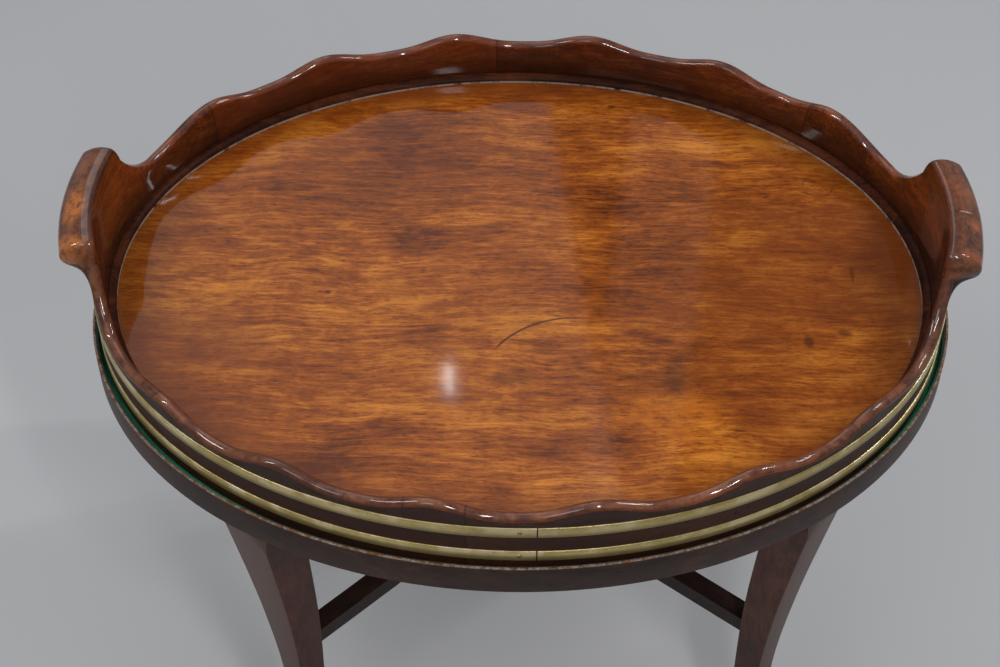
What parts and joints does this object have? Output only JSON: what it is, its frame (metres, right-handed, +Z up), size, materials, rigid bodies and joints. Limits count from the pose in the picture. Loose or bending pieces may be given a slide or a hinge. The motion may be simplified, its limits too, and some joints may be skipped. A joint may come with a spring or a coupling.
{
  "type": "tray on stand",
  "caption": "Oval mahogany tray with a wavy coopered gallery, brass bands and rolled end grips, resting loose in a baize-lined ring on a stand with swept legs and a cross stretcher.",
  "frame": {"origin": "on the ground, under the centre of the oval", "axes": "+X along the long axis of the oval, +Y to the back, +Z up"},
  "size_m": [0.6625, 0.4958, 0.568],
  "materials": {
    "floor_mahogany": "french polished, orange-brown figured mahogany",
    "gallery_mahogany": "polished dark red-brown mahogany",
    "stand_mahogany": "waxed dark mahogany",
    "band_brass": "dull, lightly tarnished",
    "green_baize": "short napped wool cloth",
    "hidden_beech": "unfinished"
  },
  "bodies": {
    "stand": {"rail_back_right": "stand_mahogany", "rail_back_left": "stand_mahogany", "rail_front_left": "stand_mahogany", "rail_front_right": "stand_mahogany", "rail_keys": "hidden_beech", "leg_back_right": "stand_mahogany", "leg_back_left": "stand_mahogany", "leg_front_left": "stand_mahogany", "leg_front_right": "stand_mahogany", "stretcher_upper": "stand_mahogany", "stretcher_lower": "stand_mahogany", "baize_lining": "green_baize"},
    "tray": {"handle_stave_right": "gallery_mahogany", "handle_stave_left": "gallery_mahogany", "stave_back_right": "gallery_mahogany", "stave_back_left": "gallery_mahogany", "stave_front_left": "gallery_mahogany", "stave_front_right": "gallery_mahogany", "tray_floor": "floor_mahogany", "band_pins": "band_brass", "floor_bead_back": "gallery_mahogany", "floor_bead_front": "gallery_mahogany", "lower_band": "band_brass", "upper_band": "band_brass"}
  },
  "joints": [
    {"name": "tray_lift", "type": "slide", "parent": "stand", "child": "tray", "axis": [0, 0, 1], "range_m": [0, 0.12]}
  ]
}
